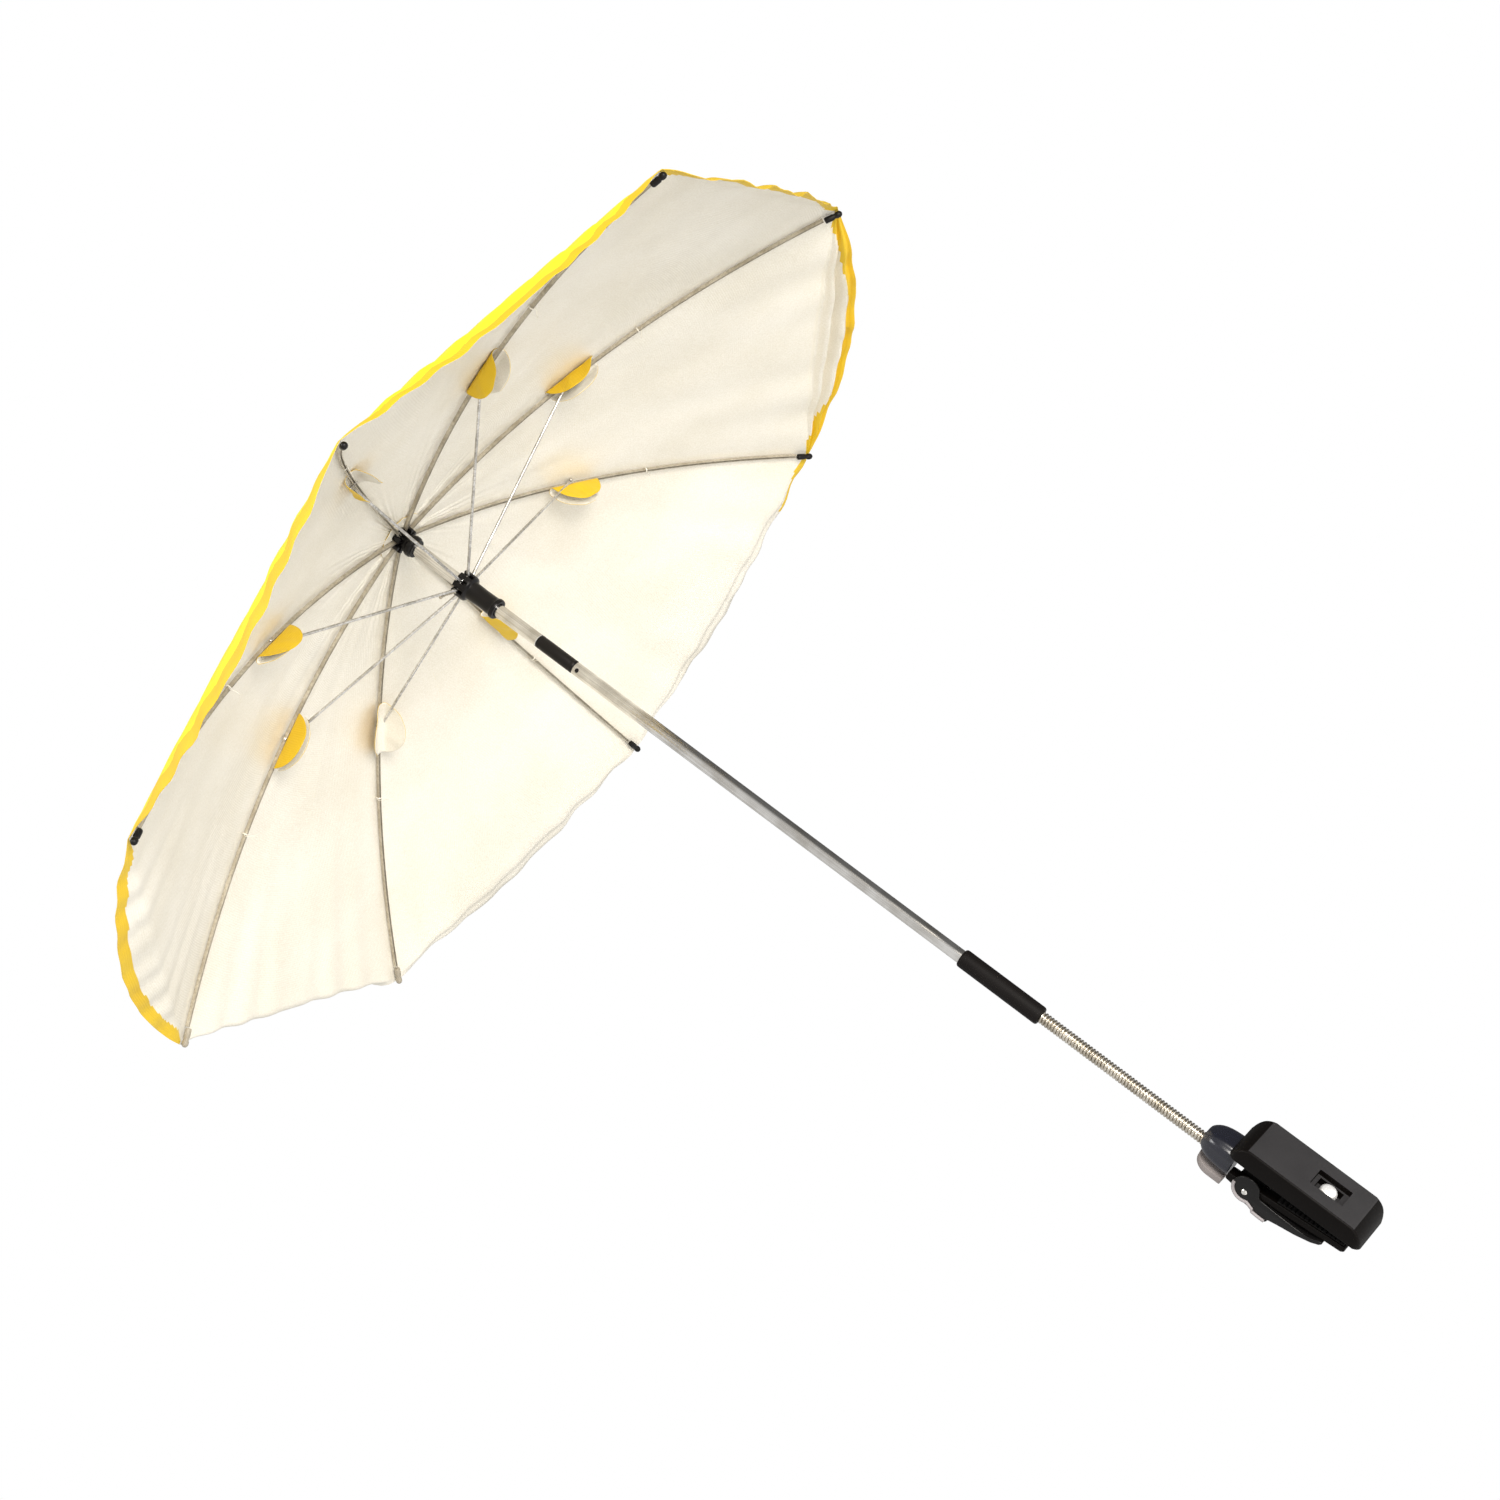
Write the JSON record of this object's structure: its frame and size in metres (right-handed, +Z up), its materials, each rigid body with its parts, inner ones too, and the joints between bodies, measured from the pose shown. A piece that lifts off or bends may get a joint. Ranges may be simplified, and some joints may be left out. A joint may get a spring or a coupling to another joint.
{
  "type": "clip-on pushchair parasol",
  "caption": "Folding parasol with a two-tone coated canopy on a thin chromed pole, a bendable gooseneck and a cam-lever clamp that grips a tube.",
  "frame": {"origin": "on the face of the clamp's front pad, in the lower part of the mouth", "axes": "+Z up along the pole from clamp to crown, -Y the clamp's front with the nut window, the pole stands at x = 0, y = 0.0142 m"},
  "size_m": [0.7042, 0.7042, 0.7927],
  "materials": {
    "chrome_tube": "polished tube",
    "band_plastic": "black band flush with the tube",
    "crown_plastic": "moulded black",
    "rib_steel": "plated channel steel",
    "wire_steel": "bright wire",
    "tip_plastic": "black cap",
    "canopy_fabric": "yellow outside, silver-white coating inside",
    "sleeve_rubber": "matte black sleeve",
    "neck_nickel": "plated coil",
    "knuckle_gloss": "glossy black",
    "backplate": "dark grey edge",
    "jaw_plastic": "fine-grained black",
    "pad_rubber": "ribbed pad",
    "bolt_steel": "bright plated",
    "lever_plastic": "satin black"
  },
  "bodies": {
    "clamp_body": {"jaw_front": "jaw_plastic", "pad_front": "pad_rubber", "cam_rest": "jaw_plastic", "clamp_nut": "bolt_steel", "knuckle_bell": "knuckle_gloss", "knuckle_backplate": "backplate"},
    "clamp_bolt": {"clamp_bolt": "bolt_steel"},
    "rear_jaw": {"jaw_rear": "jaw_plastic", "pad_rear": "pad_rubber", "lever_pin": "bolt_steel"},
    "cam_lever": {"cam_lever": "lever_plastic"},
    "neck_1": {"gooseneck_1": "neck_nickel"},
    "neck_2": {"gooseneck_2": "neck_nickel"},
    "neck_3": {"gooseneck_3": "neck_nickel"},
    "neck_4": {"gooseneck_4": "neck_nickel"},
    "neck_5": {"gooseneck_5": "neck_nickel"},
    "neck_6": {"gooseneck_6": "neck_nickel", "socket_sleeve": "sleeve_rubber"},
    "lower_pole": {"lower_tube": "chrome_tube"},
    "upper_pole": {"upper_tube": "chrome_tube", "tube_joiner": "band_plastic", "crown_notch": "crown_plastic", "crown_collar": "crown_plastic", "crown_cap": "crown_plastic"},
    "runner": {"runner": "crown_plastic"},
    "rib_1": {"rib_1": "rib_steel", "rib_tip_1": "tip_plastic", "canopy_panel_1": "canopy_fabric"},
    "stretcher_1": {"stretcher_1": "wire_steel"},
    "rib_2": {"rib_2": "rib_steel", "rib_tip_2": "tip_plastic", "canopy_panel_2": "canopy_fabric"},
    "stretcher_2": {"stretcher_2": "wire_steel"},
    "rib_3": {"rib_3": "rib_steel", "rib_tip_3": "tip_plastic", "canopy_panel_3": "canopy_fabric"},
    "stretcher_3": {"stretcher_3": "wire_steel"},
    "rib_4": {"rib_4": "rib_steel", "rib_tip_4": "tip_plastic", "canopy_panel_4": "canopy_fabric"},
    "stretcher_4": {"stretcher_4": "wire_steel"},
    "rib_5": {"rib_5": "rib_steel", "rib_tip_5": "tip_plastic", "canopy_panel_5": "canopy_fabric"},
    "stretcher_5": {"stretcher_5": "wire_steel"},
    "rib_6": {"rib_6": "rib_steel", "rib_tip_6": "tip_plastic", "canopy_panel_6": "canopy_fabric"},
    "stretcher_6": {"stretcher_6": "wire_steel"},
    "rib_7": {"rib_7": "rib_steel", "rib_tip_7": "tip_plastic", "canopy_panel_7": "canopy_fabric"},
    "stretcher_7": {"stretcher_7": "wire_steel"},
    "rib_8": {"rib_8": "rib_steel", "rib_tip_8": "tip_plastic", "canopy_panel_8": "canopy_fabric"},
    "stretcher_8": {"stretcher_8": "wire_steel"}
  },
  "joints": [
    {"name": "bolt_slide", "type": "slide", "parent": "clamp_body", "child": "clamp_bolt", "axis": [0, 1, 0], "range_m": [0, 0.005]},
    {"name": "jaw_rock", "type": "hinge", "parent": "clamp_bolt", "child": "rear_jaw", "pos_m": [0, 0.0079, 0.0095], "axis": [1, 0, 0], "range_deg": [0, 4]},
    {"name": "cam_turn", "type": "hinge", "parent": "rear_jaw", "child": "cam_lever", "pos_m": [0, 0.015, 0.049], "axis": [1, 0, 0], "range_deg": [0, 100]},
    {"name": "neck_bend_1", "type": "hinge", "parent": "clamp_body", "child": "neck_1", "pos_m": [0, 0.0142, 0.089], "axis": [1, 0, 0], "range_deg": [-30, 30]},
    {"name": "neck_bend_2", "type": "hinge", "parent": "neck_1", "child": "neck_2", "pos_m": [0, 0.0142, 0.10938], "axis": [0, 1, 0], "range_deg": [-30, 30]},
    {"name": "neck_bend_3", "type": "hinge", "parent": "neck_2", "child": "neck_3", "pos_m": [0, 0.0142, 0.12977], "axis": [1, 0, 0], "range_deg": [-30, 30]},
    {"name": "neck_bend_4", "type": "hinge", "parent": "neck_3", "child": "neck_4", "pos_m": [0, 0.0142, 0.15015], "axis": [0, 1, 0], "range_deg": [-30, 30]},
    {"name": "neck_bend_5", "type": "hinge", "parent": "neck_4", "child": "neck_5", "pos_m": [0, 0.0142, 0.17053], "axis": [1, 0, 0], "range_deg": [-30, 30]},
    {"name": "neck_bend_6", "type": "hinge", "parent": "neck_5", "child": "neck_6", "pos_m": [0, 0.0142, 0.19092], "axis": [0, 1, 0], "range_deg": [-30, 30]},
    {"name": "pole_pull", "type": "slide", "parent": "neck_6", "child": "lower_pole", "axis": [0, 0, 1], "range_m": [0, 0.036]},
    {"name": "pole_turn", "type": "hinge", "parent": "lower_pole", "child": "upper_pole", "pos_m": [0, 0.0142, 0.595], "axis": [0, 0, 1], "range_deg": [-180, 180]},
    {"name": "runner_slide", "type": "slide", "parent": "upper_pole", "child": "runner", "axis": [0, 0, -1], "range_m": [0, 0.2369]},
    {"name": "rib_fold_1", "type": "hinge", "parent": "upper_pole", "child": "rib_1", "pos_m": [0, 0.0064, 0.75], "axis": [1, 0, 0], "range_deg": [0, 72.46], "deforming": ["canopy_panel_1"]},
    {"name": "stretcher_turn_1", "type": "hinge", "parent": "runner", "child": "stretcher_1", "pos_m": [0, 0.0059, 0.6925], "axis": [-1, 0, 0], "range_deg": [0, 69.49]},
    {"name": "rib_fold_2", "type": "hinge", "parent": "upper_pole", "child": "rib_2", "pos_m": [0.00552, 0.00868, 0.75], "axis": [0.7071, 0.7071, 0], "range_deg": [0, 72.46], "deforming": ["canopy_panel_2"]},
    {"name": "stretcher_turn_2", "type": "hinge", "parent": "runner", "child": "stretcher_2", "pos_m": [0.00587, 0.00833, 0.6925], "axis": [-0.7071, -0.7071, 0], "range_deg": [0, 69.49]},
    {"name": "rib_fold_3", "type": "hinge", "parent": "upper_pole", "child": "rib_3", "pos_m": [0.0078, 0.0142, 0.75], "axis": [0, 1, 0], "range_deg": [0, 72.46], "deforming": ["canopy_panel_3"]},
    {"name": "stretcher_turn_3", "type": "hinge", "parent": "runner", "child": "stretcher_3", "pos_m": [0.0083, 0.0142, 0.6925], "axis": [0, -1, 0], "range_deg": [0, 69.49]},
    {"name": "rib_fold_4", "type": "hinge", "parent": "upper_pole", "child": "rib_4", "pos_m": [0.00552, 0.01972, 0.75], "axis": [-0.7071, 0.7071, 0], "range_deg": [0, 72.46], "deforming": ["canopy_panel_4"]},
    {"name": "stretcher_turn_4", "type": "hinge", "parent": "runner", "child": "stretcher_4", "pos_m": [0.00587, 0.02007, 0.6925], "axis": [0.7071, -0.7071, 0], "range_deg": [0, 69.49]},
    {"name": "rib_fold_5", "type": "hinge", "parent": "upper_pole", "child": "rib_5", "pos_m": [0, 0.022, 0.75], "axis": [-1, 0, 0], "range_deg": [0, 72.46], "deforming": ["canopy_panel_5"]},
    {"name": "stretcher_turn_5", "type": "hinge", "parent": "runner", "child": "stretcher_5", "pos_m": [0, 0.0225, 0.6925], "axis": [1, 0, 0], "range_deg": [0, 69.49]},
    {"name": "rib_fold_6", "type": "hinge", "parent": "upper_pole", "child": "rib_6", "pos_m": [-0.00552, 0.01972, 0.75], "axis": [-0.7071, -0.7071, 0], "range_deg": [0, 72.46], "deforming": ["canopy_panel_6"]},
    {"name": "stretcher_turn_6", "type": "hinge", "parent": "runner", "child": "stretcher_6", "pos_m": [-0.00587, 0.02007, 0.6925], "axis": [0.7071, 0.7071, 0], "range_deg": [0, 69.49]},
    {"name": "rib_fold_7", "type": "hinge", "parent": "upper_pole", "child": "rib_7", "pos_m": [-0.0078, 0.0142, 0.75], "axis": [0, -1, 0], "range_deg": [0, 72.46], "deforming": ["canopy_panel_7"]},
    {"name": "stretcher_turn_7", "type": "hinge", "parent": "runner", "child": "stretcher_7", "pos_m": [-0.0083, 0.0142, 0.6925], "axis": [0, 1, 0], "range_deg": [0, 69.49]},
    {"name": "rib_fold_8", "type": "hinge", "parent": "upper_pole", "child": "rib_8", "pos_m": [-0.00552, 0.00868, 0.75], "axis": [0.7071, -0.7071, 0], "range_deg": [0, 72.46], "deforming": ["canopy_panel_8"]},
    {"name": "stretcher_turn_8", "type": "hinge", "parent": "runner", "child": "stretcher_8", "pos_m": [-0.00587, 0.00833, 0.6925], "axis": [-0.7071, 0.7071, 0], "range_deg": [0, 69.49]}
  ],
  "couplings": [
    {"joint": "jaw_rock", "follows": "cam_turn", "ratio": 0.04},
    {"joint": "rib_fold_1", "follows": "runner_slide", "rad_per_m": 5.3383},
    {"joint": "stretcher_turn_1", "follows": "runner_slide", "rad_per_m": 5.1195},
    {"joint": "rib_fold_2", "follows": "runner_slide", "rad_per_m": 5.3383},
    {"joint": "stretcher_turn_2", "follows": "runner_slide", "rad_per_m": 5.1195},
    {"joint": "rib_fold_3", "follows": "runner_slide", "rad_per_m": 5.3383},
    {"joint": "stretcher_turn_3", "follows": "runner_slide", "rad_per_m": 5.1195},
    {"joint": "rib_fold_4", "follows": "runner_slide", "rad_per_m": 5.3383},
    {"joint": "stretcher_turn_4", "follows": "runner_slide", "rad_per_m": 5.1195},
    {"joint": "rib_fold_5", "follows": "runner_slide", "rad_per_m": 5.3383},
    {"joint": "stretcher_turn_5", "follows": "runner_slide", "rad_per_m": 5.1195},
    {"joint": "rib_fold_6", "follows": "runner_slide", "rad_per_m": 5.3383},
    {"joint": "stretcher_turn_6", "follows": "runner_slide", "rad_per_m": 5.1195},
    {"joint": "rib_fold_7", "follows": "runner_slide", "rad_per_m": 5.3383},
    {"joint": "stretcher_turn_7", "follows": "runner_slide", "rad_per_m": 5.1195},
    {"joint": "rib_fold_8", "follows": "runner_slide", "rad_per_m": 5.3383},
    {"joint": "stretcher_turn_8", "follows": "runner_slide", "rad_per_m": 5.1195}
  ]
}
